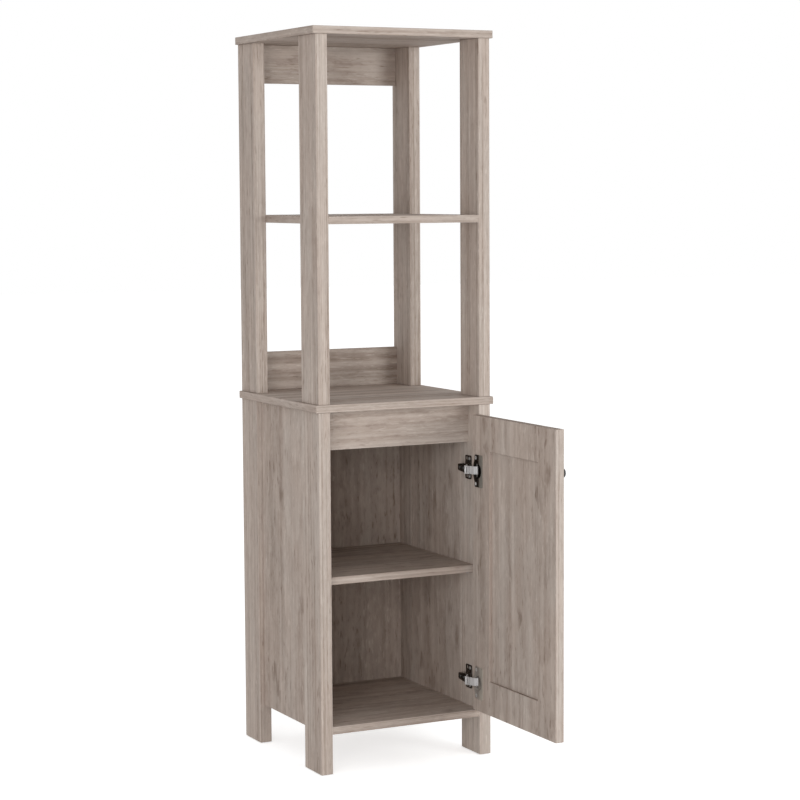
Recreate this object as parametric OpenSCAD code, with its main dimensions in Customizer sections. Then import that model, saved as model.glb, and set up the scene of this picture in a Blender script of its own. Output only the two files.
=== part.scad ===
// Tall bathroom cabinet: an open tower of two shelves over a cupboard with one door.
// +X is the cabinet's right, +Y its back and +Z up. The origin is the middle of the footprint, on the floor.

/* [Cabinet] */
// Width over the outer faces of the posts
cabinet_w = 378; // [340:1:460]
// Depth over the front and back faces of the posts
cabinet_d = 377; // [340:1:440]
// Thickness of every board apart from the posts, the door and the back
board_t = 15; // [13:0.5:18]
// How far the cap and the countertop stand out at each side
overhang_side = 6; // [0:0.5:15]
// How far the cap and the countertop stand out at the front
overhang_front = 3; // [0:0.5:12]

/* [Posts] */
// Thickness of a post, seen from the front
post_w = 25; // [22:0.5:32]
// Depth of a post, seen from the side
post_d = 77.5; // [72:0.5:90]
// Length of a lower post
lower_post_h = 712; // [680:1:760]
// Length of an upper post
upper_post_h = 709; // [600:1:800]
// Height of the plastic glide under each lower post
glide_h = 1.5; // [1:0.5:4]
// Diameter of a glide
glide_d = 18; // [12:1:20]

/* [Shelves and rails] */
// Floor to the underside of the bottom panel
bottom_panel_z = 80; // [60:1:110]
// Floor to the underside of the shelf behind the door
inner_shelf_z = 372.5; // [330:0.5:430]
// Front of the posts to the front edge of the shelf behind the door
inner_shelf_setback = 20; // [19.5:0.5:60]
// Countertop to the underside of the open shelf
upper_shelf_rise = 347.5; // [260:0.5:440]
// Gap between the inner shelf and the back panel
shelf_gap = 0.8; // [0.3:0.1:3]
// Height of the rail under the countertop
header_h = 79; // [75:1:100]
// Front of the posts to the front of that rail
header_setback = 45; // [42:1:60]
// Height of the rail under the cap, at the back
back_rail_h = 77.5; // [60:0.5:100]
// Height of the splash rail behind the countertop
backsplash_h = 79; // [60:1:100]
// Thickness of the back panel
back_t = 3; // [2.5:0.5:6]
// Back of the posts to the back of the back panel
back_setback = 21; // [18:0.5:30]
// Depth of the grooves that hold the back panel
back_groove = 6; // [4:0.5:8]

/* [Door] */
// Angle at which the door stands open, with 0 shut
door_open = 90; // [0:1:105]
// Thickness of the door's stiles and rails
door_t = 18; // [18:0.5:19]
// Gap at each side of the shut door
door_gap = 1.8; // [1.6:0.1:3]
// Gap under the door
door_lift = 2.3; // [1:0.1:5]
// Gap between the shut door and the countertop, which leaves the header rail in sight
door_top_gap = 19.7; // [3:0.1:30]
// Width of a door stile
stile_w = 68; // [60:1:90]
// Height of a door rail
door_rail_h = 68; // [50:1:100]
// Thickness of the door's centre panel
panel_t = 6; // [4:0.5:12]
// Depth of the grooves that hold the centre panel
panel_groove = 8; // [5:0.5:12]

/* [Knob] */
// Diameter of the knob's head
knob_d = 20.5; // [17:0.5:30]
// How far the knob stands out from the door
knob_h = 21; // [17:0.5:28]
// Free edge of the door to the middle of the knob
knob_in = 34; // [25:1:42]
// Top of the door to the middle of the knob
knob_down = 87; // [60:1:300]

/* [Hinges] */
// Top of the door to the middle of the upper hinge
upper_hinge_down = 110.5; // [90:0.5:160]
// Bottom of the door to the middle of the lower hinge
lower_hinge_up = 57.7; // [45:0.1:120]
// Diameter of the bore for a hinge cup
cup_bore_d = 35; // [34:0.5:36]
// Hinge edge of the door to the rim of the cup bore
cup_edge = 5; // [4.5:0.5:7]
// Depth of the cup bore
cup_depth = 12; // [11.5:0.1:12.5]
// Height of the eared plate round a cup
flange_h = 65; // [60:1:70]
// Distance between the two screws of a cup
cup_screw_pitch = 52; // [48:1:56]
// Height of a mounting plate
plate_h = 48; // [46:1:58]
// Distance between the two screws of a mounting plate
plate_screw_pitch = 36; // [32:1:38]

/* [Fasteners] */
// Diameter of the wooden dowels
dowel_d = 8; // [6:0.5:8]
// Depth that a dowel reaches into a board's edge or a post's end
dowel_in = 20; // [15:1:25]
// Width of the bevel that eases every board's edges
edge_ease = 0.8; // [0.3:0.1:1.5]
// Diameter of a cam lock
cam_d = 15; // [12:0.5:16]
// End of a board to the middle of its cam locks
cam_in = 24; // [20:1:34]
// Diameter of a shelf pin
pin_d = 5; // [4:0.5:6]

/* [Hidden] */
$fn = 48;

oak = [0.66, 0.60, 0.55];
beech = [0.80, 0.68, 0.50];
dark_metal = [0.20, 0.19, 0.18];
bright_metal = [0.72, 0.72, 0.72];
dark_plastic = [0.12, 0.12, 0.12];

eps = 0.01;         // lets a cut run just past a face
slip = 0.1;         // radial clearance of a fastener in its hole
end_slip = 0.3;     // a blind hole is this much deeper than what it holds
groove_slip = 0.15; // clearance of a panel on each face in its groove
sides = [-1, 1];

// Places of the boards
half_w = cabinet_w / 2;
front_y = -cabinet_d / 2;
back_y = cabinet_d / 2;
inner_x = half_w - post_w;
inner_w = 2 * inner_x;
post_x = half_w - post_w / 2;
post_y = back_y - post_d / 2;
top_w = cabinet_w + 2 * overhang_side;
top_d = cabinet_d + overhang_front;
counter_z = glide_h + lower_post_h;
counter_top = counter_z + board_t;
upper_shelf_z = counter_top + upper_shelf_rise;
cap_z = counter_top + upper_post_h;
rail_y = back_y - board_t;
back_rail_z = cap_z - back_rail_h;
header_y = front_y + header_setback;
header_z = counter_z - header_h;
bottom_top = bottom_panel_z + board_t;
back_panel_y = back_y - back_setback - back_t;
back_panel_play = 0.5;
side_panel_d = cabinet_d - 2 * post_d;
shelf_side_gap = 0.5;

// The shut door and its hinge axis, which lies just inside the post's front corner to clear it
door_w = inner_w - 2 * door_gap;
door_z = bottom_top + door_lift;
door_top = counter_z - door_top_gap;
door_h = door_top - door_z;
door_x = inner_x - door_gap;
door_y = front_y + door_t;
axis_inset = [0.7, 1.5];
axis_x = inner_x + axis_inset.x;
axis_y = front_y + axis_inset.y;
panel_v = (door_t - panel_t) / 2;
groove_w = panel_t + 2 * groove_slip;
panel_play = 0.5;

// Hinge parts on the cabinet, seen from above. A setback is from the posts' front, and a reach is how far a
// part stands out from the post's inner face
hinge_zs = [door_top - upper_hinge_down, door_z + lower_hinge_up];
plate_t = 2;
plate_l = 24;
plate_corner = 3;
plate_setback = 31;
plate_screw_in = 6;                 // the plate's front edge to its screws and to its slots
plate_slot_in = 18;
plate_slot = [6, 8];
plate_front_y = front_y + plate_setback;
plate_screw_y = plate_front_y + plate_screw_in;
plate_slot_y = plate_front_y + plate_slot_in;
block_l = 33.5;
block_reach = 12;
block_halves = [7.7, 4.6];          // half heights of the block at its front and at its back
web_reach = 14.5;
web_t = 1.5;
web_x = inner_x - web_reach;
arm_l = 33;
arm_halves = [9.5, 6.5];
arm_wall_t = 1.3;
arm_wall_reach = 4;
arm_wall_x = inner_x - arm_wall_reach;
arm_behind_door = 10;
arm_corner = 2;
arm_taper = 4.5;
arm_front_y = door_y + arm_behind_door;
arm_back_y = arm_front_y + arm_l;
arm_screws_in = [10.5, 25];       // the arm's front edge to its screws
arm_screw_ys = [for (in = arm_screws_in) arm_front_y + in];

// The crank runs under the arm's web, bends, and reaches into the shut door's cup
crank_t = 2;
crank_bend_in = 2.5;                // the bend stands this far before the arm
crank_tail = 14.5;                  // what of the crank lies under the arm
crank_tail_half = 6;
pin_reach = 25;
pin_in_door = 6.5;                  // past the shut door's inner face
crank_x = web_x + slip + crank_t / 2;
crank_end = [crank_x, arm_front_y + crank_tail];
crank_bend = [crank_x, arm_front_y - crank_bend_in];
arm_pin = [inner_x - pin_reach, door_y - pin_in_door];
knuckle_r = 2.6;
knuckle_half = 6;
knuckle_run = 6;

// Hinge parts that turn. A lever's half height is the same on the crank, the link and the cup lever
lever_half = 8;
lever_t = 1.6;
pin_r = 1.2;
pin_slip = 0.05;
link_l = 11.3;
link_dip = 10;                      // the shut link points this many degrees into the cup
link_boss_r = 3;
link_web_from = 5;
link_gap = 0.2;

// Cup parts on the door: u runs from the hinge edge, v from the inner face into the door
cup_u = cup_edge + cup_bore_d / 2;
cup_wall = 1.9;
cup_floor = 1.4;
cup_r = cup_bore_d / 2 - slip;
cup_hollow_r = cup_r - cup_wall;
flange_t = 1.5;
flange_rim = 0.5;
flange_far = 2;                     // from the bore's rim to the eared plate's straight edge
flange_corner = 2.5;
ear_in = 6;                         // from the bore's other rim in to the ears' edges
ear_l = 9;
shoulder_in = 1;                    // the edges that slope from the ears end here, round the cup
shoulder_half = 12;
cup_screw_in = 11;
cup_screw_u = cup_edge + cup_screw_in;
cup_pin_in = 7.5;
cup_pin_deep = 3.5;
cup_pin = [cup_edge + cup_pin_in, cup_pin_deep];
cup_pin_half = 12.8;
barrel_r = 2.2;
lever_tip_r = 0.9;
lever_bends = [[6.5, -1.6], [3, -3.4], [-5.6, -5.6]];
lever_path = concat([cup_pin], [for (p = lever_bends) [cup_edge + p.x, p.y]]);

// Fasteners
post_dowel_gap = 18;                // a post's dowels and its middle
top_cover = 3;                      // board left over a dowel's hole
top_dowel_in = board_t - top_cover;
face_dowel_in = 12;
side_dowel_in = 15;
shelf_cam_gap = 26;                 // a shelf's cam locks and the middles of its posts
shelf_cam_y = post_y - shelf_cam_gap;
rail_dowel_z = 14;                  // lower edge of a rail to its lower dowels
rail_fixing_pitch = 15;             // a rail's dowels and the cam lock between them
side_dowel_count = 4;
side_dowel_rise = 45;               // over the bottom panel
side_dowel_drop = 20;               // under the header rail
side_dowel_from = bottom_top + side_dowel_rise;
side_dowel_to = header_z - side_dowel_drop;
side_dowel_x = inner_x + board_t / 2;
cam_cover = 2.8;                    // board left over a cam lock's hole
cam_h = board_t - cam_cover;
cam_way_r = 3.6;
cam_bolt_r = 3;
cam_neck_r = 2;
cam_bolt_in = 11;
stud_r = 3;
stud_in = 30;
pin_in = 9;
pin_out = 10;
pin_plate = [9, 2];
pin_drop = 3;
pin_collar = [4.5, 1.5];
pin_insets = [50, 30];              // the posts' front and the back panel to the shelf pins
pin_ys = [front_y + pin_insets[0], back_panel_y - pin_insets[1]];
nail_r = 1;
nail_l = 12;

// Screws: shank radius, length, head radius and head height
cap_screw = [2, 50, 4.2, 3];
plate_screw = [2.2, 13, 3.7, 1.6];
arm_screw = [2, 12, 3.3, 1.5];
cup_screw = [1.9, 13, 3.4, 1.5];
cross_w = 0.9;
cross_d = 0.9;
knob_screw_r = 2;
knob_screw_in = 12;
knob_screw_out = 10;

// Knob profile
knob_foot = [7, 1.2];
knob_neck = [4.5, 6.5];
knob_rim_t = 2;
knob_dome = 5;

// Helpers

// The point at a distance of s from a towards b
function along(a, b, s) = a + (b - a) * (s / norm(b - a));

function unit(v) = v / norm(v);

// From point i of a path to the edge of a strip of thickness t that follows it
function strip_side(path, i, t) =
    let (
        before = unit(i > 0 ? path[i] - path[i - 1] : path[1] - path[0]),
        after = unit(i < len(path) - 1 ? path[i + 1] - path[i] : before),
        d = unit(before + after)
    ) [-d.y, d.x] * t / 2 / (d * before);

module eased_outline(size, c) polygon([
    [c, 0], [size.x - c, 0], [size.x, c], [size.x, size.y - c],
    [size.x - c, size.y], [c, size.y], [0, size.y - c], [0, c],
]);

// A board with every edge eased by a small bevel
module board(at, size, c = edge_ease) translate(at) intersection() {
    linear_extrude(size.z) eased_outline([size.x, size.y], c);
    translate([0, size.y, 0]) rotate([90, 0, 0]) linear_extrude(size.y) eased_outline([size.x, size.z], c);
    rotate([90, 0, 90]) linear_extrude(size.x) eased_outline([size.y, size.z], c);
}

// A strip from y0 to y1 whose half heights at its two ends are given, with bevels of c at its corners
module tapered_outline(y0, y1, halves, c = 0.5) {
    upper = [
        [y0, halves[0] - c], [y0 + c, halves[0]],
        [y1 - c, halves[1]], [y1, halves[1] - c],
    ];
    polygon(concat(upper, [for (i = [3 : -1 : 0]) [upper[i].x, -upper[i].y]]));
}

module rounded_outline(at, size, r) translate(at) {
    translate([r, 0]) square([size.x - 2 * r, size.y]);
    translate([0, r]) square([size.x, size.y - 2 * r]);
    for (x = [r, size.x - r], y = [r, size.y - r]) translate([x, y]) circle(r);
}

// A bent strip of thickness t that follows a path
module strip(path, t) {
    last = len(path) - 1;
    polygon(concat(
        [for (i = [0 : last]) path[i] + strip_side(path, i, t)],
        [for (i = [last : -1 : 0]) path[i] - strip_side(path, i, t)]
    ));
}

// An outline drawn from above, standing half its height above and below its place
module upright(half) translate([0, 0, -half]) linear_extrude(2 * half) children();

// An outline drawn in y and z, running from x0 to x1
module sideways(x0, x1) translate([x0, 0, 0]) rotate([90, 0, 90]) linear_extrude(x1 - x0) children();

// What is drawn for the right side goes to the side sx
module on_side(sx) mirror([sx < 0 ? 1 : 0, 0, 0]) children();

// Turns what is drawn for the shut door to where the door stands
module turned_open()
    translate([axis_x, axis_y, 0]) rotate(door_open) translate([-axis_x, -axis_y, 0]) children();

// Door pieces are drawn with x as u and y as v
module on_door() turned_open() translate([door_x, door_y, 0]) rotate(180) children();

// Fasteners, drawn along Z: what is at -Z lies in the board, and what is at +Z in the post behind it

module bore(back, ahead, r)
    translate([0, 0, -back - end_slip]) cylinder(h = back + ahead + 2 * end_slip, r = r + slip);

module dowel(back, ahead) {
    r = dowel_d / 2;
    bevel = 1;
    translate([0, 0, -back]) cylinder(h = bevel, r1 = r - bevel, r2 = r);
    translate([0, 0, bevel - back]) cylinder(h = back + ahead - 2 * bevel, r = r);
    translate([0, 0, ahead - bevel]) cylinder(h = bevel, r1 = r, r2 = r - bevel);
}

module cross_recess(l) for (a = [0, 90])
    rotate(a) translate([-l / 2, -cross_w / 2, 0]) cube([l, cross_w, cross_d]);

// A screw whose head is sunk flush with the face at z = 0
module sunk_screw(s) difference() {
    union() {
        cylinder(h = s[3], r1 = s[2], r2 = s[0]);
        translate([0, 0, s[3]]) cylinder(h = s[1] - s[3] - s[0], r = s[0]);
        translate([0, 0, s[1] - s[0]]) cylinder(h = s[0], r1 = s[0], r2 = 0.3);
    }
    translate([0, 0, -eps]) cross_recess(s[2]);
}

module sunk_bore(s) {
    cylinder(h = s[3], r1 = s[2] + slip, r2 = s[0] + slip);
    cylinder(h = s[1] + end_slip, r = s[0] + slip);
    translate([0, 0, -5]) cylinder(h = 5 + eps, r = s[2] + slip);
}

// A screw whose head stands on the face at z = 0
module pan_screw(s) difference() {
    union() {
        translate([0, 0, -s[3]]) cylinder(h = s[3] / 2, r1 = s[2] * 0.75, r2 = s[2]);
        translate([0, 0, -s[3] / 2]) cylinder(h = s[3] / 2, r = s[2]);
        cylinder(h = s[1] - s[0], r = s[0]);
        translate([0, 0, s[1] - s[0]]) cylinder(h = s[0], r1 = s[0], r2 = 0.3);
    }
    translate([0, 0, -s[3] - eps]) cross_recess(s[2]);
}

// A cam lock and its bolt draw a board's end to a post. The cam's open face looks along +X
module cam_lock() difference() {
    translate([board_t / 2 - cam_h, 0, -cam_in]) rotate([0, 90, 0]) cylinder(h = cam_h, r = cam_d / 2);
    translate([0, 0, -cam_in - cam_way_r]) cylinder(h = cam_way_r + cam_d, r = cam_way_r);
    for (a = [0, 90])
        translate([board_t / 2, 0, -cam_in]) rotate([a, 0, 0]) cube([3, 1.4, cam_d * 0.6], center = true);
}

module cam_bolt() {
    neck = 6;
    head = 3;
    translate([0, 0, -cam_in + neck - 1]) cylinder(h = cam_in - neck + 1 + cam_bolt_in, r = cam_bolt_r);
    translate([0, 0, -cam_in]) cylinder(h = neck, r = cam_neck_r);
    translate([0, 0, -cam_in - head / 2]) cylinder(h = head, r = cam_bolt_r);
}

module cam_bores() {
    bore(cam_in, cam_bolt_in, cam_bolt_r);
    translate([board_t / 2 - cam_h - slip, 0, -cam_in]) rotate([0, 90, 0])
        cylinder(h = cam_h + 1, r = cam_d / 2 + slip);
}

// Where the fasteners stand. Each module puts its children at every place of its kind

module at_post_tops(sx, sy, z) for (s = sides)
    translate([sx * post_x, sy * post_y + s * post_dowel_gap, z]) children();

module at_side_dowels(sx, sy) for (i = [0 : side_dowel_count - 1])
    translate([
        sx * side_dowel_x,
        sy * side_panel_d / 2,
        side_dowel_from + i * (side_dowel_to - side_dowel_from) / (side_dowel_count - 1),
    ]) rotate([-90 * sy, 0, 0]) children();

// A shelf's underside faces the children's +X
module at_shelf_end(sx, y, z) on_side(sx)
    translate([inner_x, y, z + board_t / 2]) rotate([0, 90, 0]) children();

// A rail's back faces the children's +X
module at_rail_end(sx, y, z) on_side(sx)
    translate([inner_x, y + board_t / 2, z]) rotate([90, 0, 90]) children();

module at_rail_dowels(sx, y, z) for (i = [0, 2])
    at_rail_end(sx, y, z + rail_dowel_z + i * rail_fixing_pitch) children();

module at_rail_cam(sx, y, z) at_rail_end(sx, y, z + rail_dowel_z + rail_fixing_pitch) children();

module at_plate_screws(z) for (s = sides)
    translate([inner_x - plate_t, plate_screw_y, z + s * plate_screw_pitch / 2])
        rotate([0, 90, 0]) children();

module at_arm_screws(z) for (y = arm_screw_ys)
    translate([web_x - web_t, y, z]) rotate([0, 90, 0]) children();

module at_cup_screws(z) for (s = sides)
    translate([cup_screw_u, -flange_t, z + s * cup_screw_pitch / 2]) rotate([-90, 0, 0]) children();

module at_shelf_pins(sx, y) on_side(sx) translate([inner_x, y, inner_shelf_z]) children();

// Holes that several pieces share

module shelf_fixings(sx, sy, z) {
    at_shelf_end(sx, sy * post_y, z) bore(dowel_in, face_dowel_in, dowel_d / 2);
    at_shelf_end(sx, sy * shelf_cam_y, z) cam_bores();
}

module rail_fixings(sx, y, z) {
    at_rail_dowels(sx, y, z) bore(dowel_in, face_dowel_in, dowel_d / 2);
    at_rail_cam(sx, y, z) cam_bores();
}

module counter_fixings(sx, sy) {
    at_post_tops(sx, sy, counter_z) bore(dowel_in, board_t + dowel_in, dowel_d / 2);
    translate([sx * post_x, sy * post_y, counter_z]) bore(stud_in, board_t + stud_in, stud_r);
}

module cap_fixings(sx, sy) {
    at_post_tops(sx, sy, cap_z) bore(dowel_in, top_dowel_in, dowel_d / 2);
    translate([sx * post_x, sy * post_y, cap_z + board_t]) mirror([0, 0, 1]) sunk_bore(cap_screw);
}

// Boards of the open tower

module top_board(z) board([-top_w / 2, front_y - overhang_front, z], [top_w, top_d, board_t]);

module cap() color(oak) difference() {
    top_board(cap_z);
    for (sx = sides, sy = sides) cap_fixings(sx, sy);
}

module countertop() color(oak) difference() {
    top_board(counter_z);
    for (sx = sides, sy = sides) counter_fixings(sx, sy);
}

module upper_shelf() color(oak) difference() {
    board([-inner_x, front_y, upper_shelf_z], [inner_w, cabinet_d, board_t]);
    for (sx = sides, sy = sides) shelf_fixings(sx, sy, upper_shelf_z);
}

module rail(y, z, h) color(oak) difference() {
    board([-inner_x, y, z], [inner_w, board_t, h]);
    for (sx = sides) rail_fixings(sx, y, z);
}

module upper_back_rail() rail(rail_y, back_rail_z, back_rail_h);
module backsplash_rail() rail(rail_y, counter_top, backsplash_h);

module post(sx, sy, z, h)
    board([sx * post_x - post_w / 2, sy * post_y - post_d / 2, z], [post_w, post_d, h]);

module upper_post(sx, sy) color(oak) difference() {
    post(sx, sy, counter_top, upper_post_h);
    cap_fixings(sx, sy);
    counter_fixings(sx, sy);
    shelf_fixings(sx, sy, upper_shelf_z);
    if (sy > 0) {
        rail_fixings(sx, rail_y, back_rail_z);
        rail_fixings(sx, rail_y, counter_top);
    }
}

module upper_post_front_left() upper_post(-1, -1);
module upper_post_front_right() upper_post(1, -1);
module upper_post_back_left() upper_post(-1, 1);
module upper_post_back_right() upper_post(1, 1);

// Boards of the cupboard

module lower_post(sx, sy) color(oak) difference() {
    post(sx, sy, glide_h, lower_post_h);
    counter_fixings(sx, sy);
    shelf_fixings(sx, sy, bottom_panel_z);
    at_side_dowels(sx, sy) bore(dowel_in, side_dowel_in, dowel_d / 2);
    translate([sx * post_x, sy * post_y, glide_h]) bore(0, nail_l, nail_r);
    at_shelf_pins(sx, sy < 0 ? pin_ys[0] : pin_ys[1]) shelf_pin_bore();
    if (sy < 0) rail_fixings(sx, header_y, header_z);
    if (sy > 0) back_groove_cut();
    if (sx > 0 && sy < 0) for (z = hinge_zs) at_plate_screws(z) bore(0, plate_screw[1], plate_screw[0]);
}

// The grooves that hold the back panel run up to the top of the back posts
module back_groove_cut() {
    x = inner_x + back_groove;
    translate([-x, back_panel_y - groove_slip, bottom_panel_z])
        cube([2 * x, back_t + 2 * groove_slip, counter_z - bottom_panel_z + 1]);
}

module lower_post_front_left() lower_post(-1, -1);
module lower_post_front_right() lower_post(1, -1);
module lower_post_back_left() lower_post(-1, 1);
module lower_post_back_right() lower_post(1, 1);

module side_panel(sx) color(oak) difference() {
    board(
        [sx > 0 ? inner_x : -inner_x - board_t, -side_panel_d / 2, bottom_panel_z],
        [board_t, side_panel_d, counter_z - bottom_panel_z]
    );
    for (sy = sides) at_side_dowels(sx, sy) bore(dowel_in, side_dowel_in, dowel_d / 2);
}

module side_panel_left() side_panel(-1);
module side_panel_right() side_panel(1);

module bottom_panel() color(oak) difference() {
    board([-inner_x, front_y, bottom_panel_z], [inner_w, back_panel_y - front_y, board_t]);
    for (sx = sides, sy = sides) shelf_fixings(sx, sy, bottom_panel_z);
}

module inner_shelf() color(oak) board(
    [-inner_x + shelf_side_gap, front_y + inner_shelf_setback, inner_shelf_z],
    [inner_w - 2 * shelf_side_gap, back_panel_y - shelf_gap - front_y - inner_shelf_setback, board_t]
);

module header_rail() rail(header_y, header_z, header_h);

module back_panel() color(oak) {
    x = inner_x + back_groove - back_panel_play;
    translate([-x, back_panel_y, bottom_panel_z])
        cube([2 * x, back_t, counter_z - bottom_panel_z - back_panel_play]);
}

// Door: two grooved stiles, two grooved rails with stub tenons, and a flat panel let into the grooves

module stile(u) difference() {
    board([u, 0, door_z], [stile_w, door_t, door_h]);
    translate([u > 0 ? u - eps : stile_w - panel_groove, panel_v - groove_slip, door_z - 1])
        cube([panel_groove + eps, groove_w, door_h + 2]);
}

module door_hinge_stile() color(oak) on_door() difference() {
    stile(0);
    for (z = hinge_zs) {
        translate([cup_u, cup_depth, z]) rotate([90, 0, 0]) cylinder(h = cup_depth + 1, r = cup_bore_d / 2);
        at_cup_screws(z) bore(0, cup_screw[1], cup_screw[0]);
    }
}

module door_free_stile() color(oak) on_door() difference() {
    stile(door_w - stile_w);
    at_knob() bore(knob_screw_in, 0, knob_screw_r);
}

// grow is 1 where the groove is in the rail's upper edge and -1 where it is in its lower edge
module door_rail(z, grow) color(oak) on_door() {
    groove_z = grow > 0 ? z + door_rail_h - panel_groove : z;
    tenon_z = grow > 0 ? z : z + panel_groove;
    tenon_l = panel_groove - panel_play;
    difference() {
        union() {
            board([stile_w, 0, z], [door_w - 2 * stile_w, door_t, door_rail_h]);
            for (u = [stile_w - tenon_l, door_w - stile_w - 1])
                translate([u, panel_v, tenon_z]) cube([tenon_l + 1, panel_t, door_rail_h - panel_groove]);
        }
        translate([stile_w - panel_groove, panel_v - groove_slip, groove_z - (grow > 0 ? 0 : 1)])
            cube([door_w - 2 * stile_w + 2 * panel_groove, groove_w, panel_groove + 1]);
    }
}

module door_top_rail() door_rail(door_top - door_rail_h, -1);
module door_bottom_rail() door_rail(door_z, 1);

module door_centre_panel() color(oak) on_door() {
    u = stile_w - panel_groove + panel_play;
    z = door_z + door_rail_h - panel_groove + panel_play;
    translate([u, panel_v, z]) cube([door_w - 2 * u, panel_t, 2 * (door_z + door_h / 2 - z)]);
}

// Knob: a mushroom turned in one piece, held by a headless screw that the inner face doesn't show

module at_knob() translate([door_w - knob_in, door_t, door_top - knob_down]) rotate([-90, 0, 0]) children();

module knob_outline() {
    r = knob_d / 2;
    rim_z = knob_h - knob_dome - knob_rim_t;
    polygon(concat(
        [[0, 0], [knob_foot.x, 0], [knob_foot.x, knob_foot.y]],
        [for (a = [0 : 15 : 90]) [
            knob_neck.x + (knob_foot.x - knob_neck.x) * (1 - sin(a)),
            knob_foot.y + (knob_neck.y - knob_foot.y) * (1 - cos(a)),
        ]],
        [for (a = [15 : 15 : 90]) [
            knob_neck.x + (r - knob_neck.x) * (1 - cos(a)),
            knob_neck.y + (rim_z - knob_neck.y) * sin(a),
        ]],
        [for (a = [0 : 10 : 90]) [r * cos(a), knob_h - knob_dome + knob_dome * sin(a)]]
    ));
}

module knob() color(dark_metal) on_door() at_knob() difference() {
    rotate_extrude() knob_outline();
    bore(0, knob_screw_out, knob_screw_r);
}

module knob_screw() color(bright_metal) on_door() at_knob()
    translate([0, 0, -knob_screw_in]) cylinder(h = knob_screw_in + knob_screw_out, r = knob_screw_r);

// Concealed hinges: a plate on the post, an arm hooked over it, a crank that reaches into the cup,
// a link that turns on the crank's pin, and a cup in the door with its own lever and pin

module hinge_plate(z) color(dark_metal) translate([0, 0, z]) difference() {
    union() {
        sideways(inner_x - plate_t, inner_x) {
            rounded_outline([plate_front_y, -plate_h / 2], [plate_l, plate_h], plate_corner);
            tapered_outline(plate_front_y, plate_front_y + block_l, block_halves);
        }
        sideways(inner_x - block_reach, inner_x - plate_t + eps)
            tapered_outline(plate_front_y, plate_front_y + block_l, block_halves);
    }
    at_plate_screws(0) bore(plate_t, plate_t, plate_screw[0]);
    at_arm_screws(0) bore(0, arm_screw[1], arm_screw[0]);
    for (s = sides) plate_slot_cut(s * plate_screw_pitch / 2);
}

module plate_slot_cut(dz) sideways(inner_x - plate_t - 1, inner_x + 1) rounded_outline(
    [plate_slot_y - plate_slot.x / 2, dz - plate_slot.y / 2], plate_slot, plate_slot.x / 2 - eps
);

// A sheet bent into a channel whose sides come nearer towards the back and are cut on the slant at both ends
module hinge_arm(z) color(dark_metal) translate([0, 0, z]) difference() {
    intersection() {
        sideways(web_x - web_t, arm_wall_x) tapered_outline(arm_front_y, arm_back_y, arm_halves, arm_corner);
        upright(arm_halves[0] + 1) polygon([
            [web_x - web_t - 1, arm_front_y - 1], [web_x, arm_front_y], [arm_wall_x, arm_front_y + arm_taper],
            [arm_wall_x, arm_back_y - arm_taper], [web_x, arm_back_y], [web_x - web_t - 1, arm_back_y + 1],
        ]);
    }
    sideways(web_x, arm_wall_x + 1) tapered_outline(
        arm_front_y - 1, arm_back_y + 1, [for (half = arm_halves) half - arm_wall_t]
    );
    at_arm_screws(0) bore(0, web_t, arm_screw[0]);
}

module hinge_crank(z) color(bright_metal) translate([0, 0, z]) difference() {
    tip = along(arm_pin, crank_bend, knuckle_run);
    union() {
        upright(crank_tail_half) strip([crank_end, crank_bend], crank_t);
        upright(lever_half) strip([[crank_end.x, arm_front_y - link_gap], crank_bend, tip], crank_t);
        upright(knuckle_half) strip([crank_bend, arm_pin], crank_t);
        upright(knuckle_half) translate(arm_pin) circle(knuckle_r);
    }
    translate([arm_pin.x, arm_pin.y, -lever_half]) cylinder(h = 2 * lever_half, r = pin_r + pin_slip);
    at_arm_screws(0) bore(0, arm_screw[1], arm_screw[0] + slip);
}

// The link is drawn from the crank's pin along +X
module hinge_link(z) color(bright_metal)
translate([arm_pin.x, arm_pin.y, z]) rotate(180 + link_dip + door_open) {
    cheek_t = lever_half - knuckle_half - link_gap;
    difference() {
        union() {
            for (s = sides) translate([0, 0, s * (lever_half - cheek_t / 2)]) upright(cheek_t / 2) {
                circle(link_boss_r);
                polygon([
                    [0, -link_boss_r + eps], [link_web_from, -lever_t / 2],
                    [link_web_from, lever_t / 2], [0, link_boss_r - eps],
                ]);
            }
            upright(lever_half) strip([[link_web_from - eps, 0], [link_l, 0]], lever_t);
        }
        translate([0, 0, -lever_half - 1]) cylinder(h = 2 * lever_half + 2, r = pin_r + pin_slip);
    }
}

// The cup's eared plate, drawn round the middle of the cup: one edge is straight, and the other slopes in from
// the cup to an ear at each end
module flange_outline() {
    far = cup_bore_d / 2 + flange_far;
    ear = ear_in - cup_bore_d / 2;
    shoulder = shoulder_in - cup_bore_d / 2;
    end = flange_h / 2;
    upper = [
        [shoulder, shoulder_half], [ear, end - ear_l], [ear, end - flange_corner],
        [ear + flange_corner, end], [far - flange_corner, end], [far, end - flange_corner],
    ];
    polygon(concat(upper, [for (i = [5 : -1 : 0]) [upper[i].x, -upper[i].y]]));
}

module hinge_cup(z) color(dark_metal) on_door() translate([cup_u, 0, z]) rotate([-90, 0, 0]) difference() {
    union() {
        cylinder(h = cup_depth - slip, r = cup_r);
        translate([0, 0, -flange_t]) cylinder(h = flange_t, r = cup_bore_d / 2 + flange_rim);
        translate([0, 0, -flange_t]) linear_extrude(flange_t) flange_outline();
    }
    translate([0, 0, -flange_t - 1])
        cylinder(h = flange_t + 1 + cup_depth - slip - cup_floor, r = cup_hollow_r);
    translate([cup_pin.x - cup_u, -cup_pin_half - slip, cup_pin.y]) rotate([-90, 0, 0])
        cylinder(h = 2 * (cup_pin_half + slip), r = pin_r + pin_slip);
    for (s = sides) translate([cup_screw_u - cup_u, s * cup_screw_pitch / 2, -flange_t]) sunk_bore(cup_screw);
}

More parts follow.
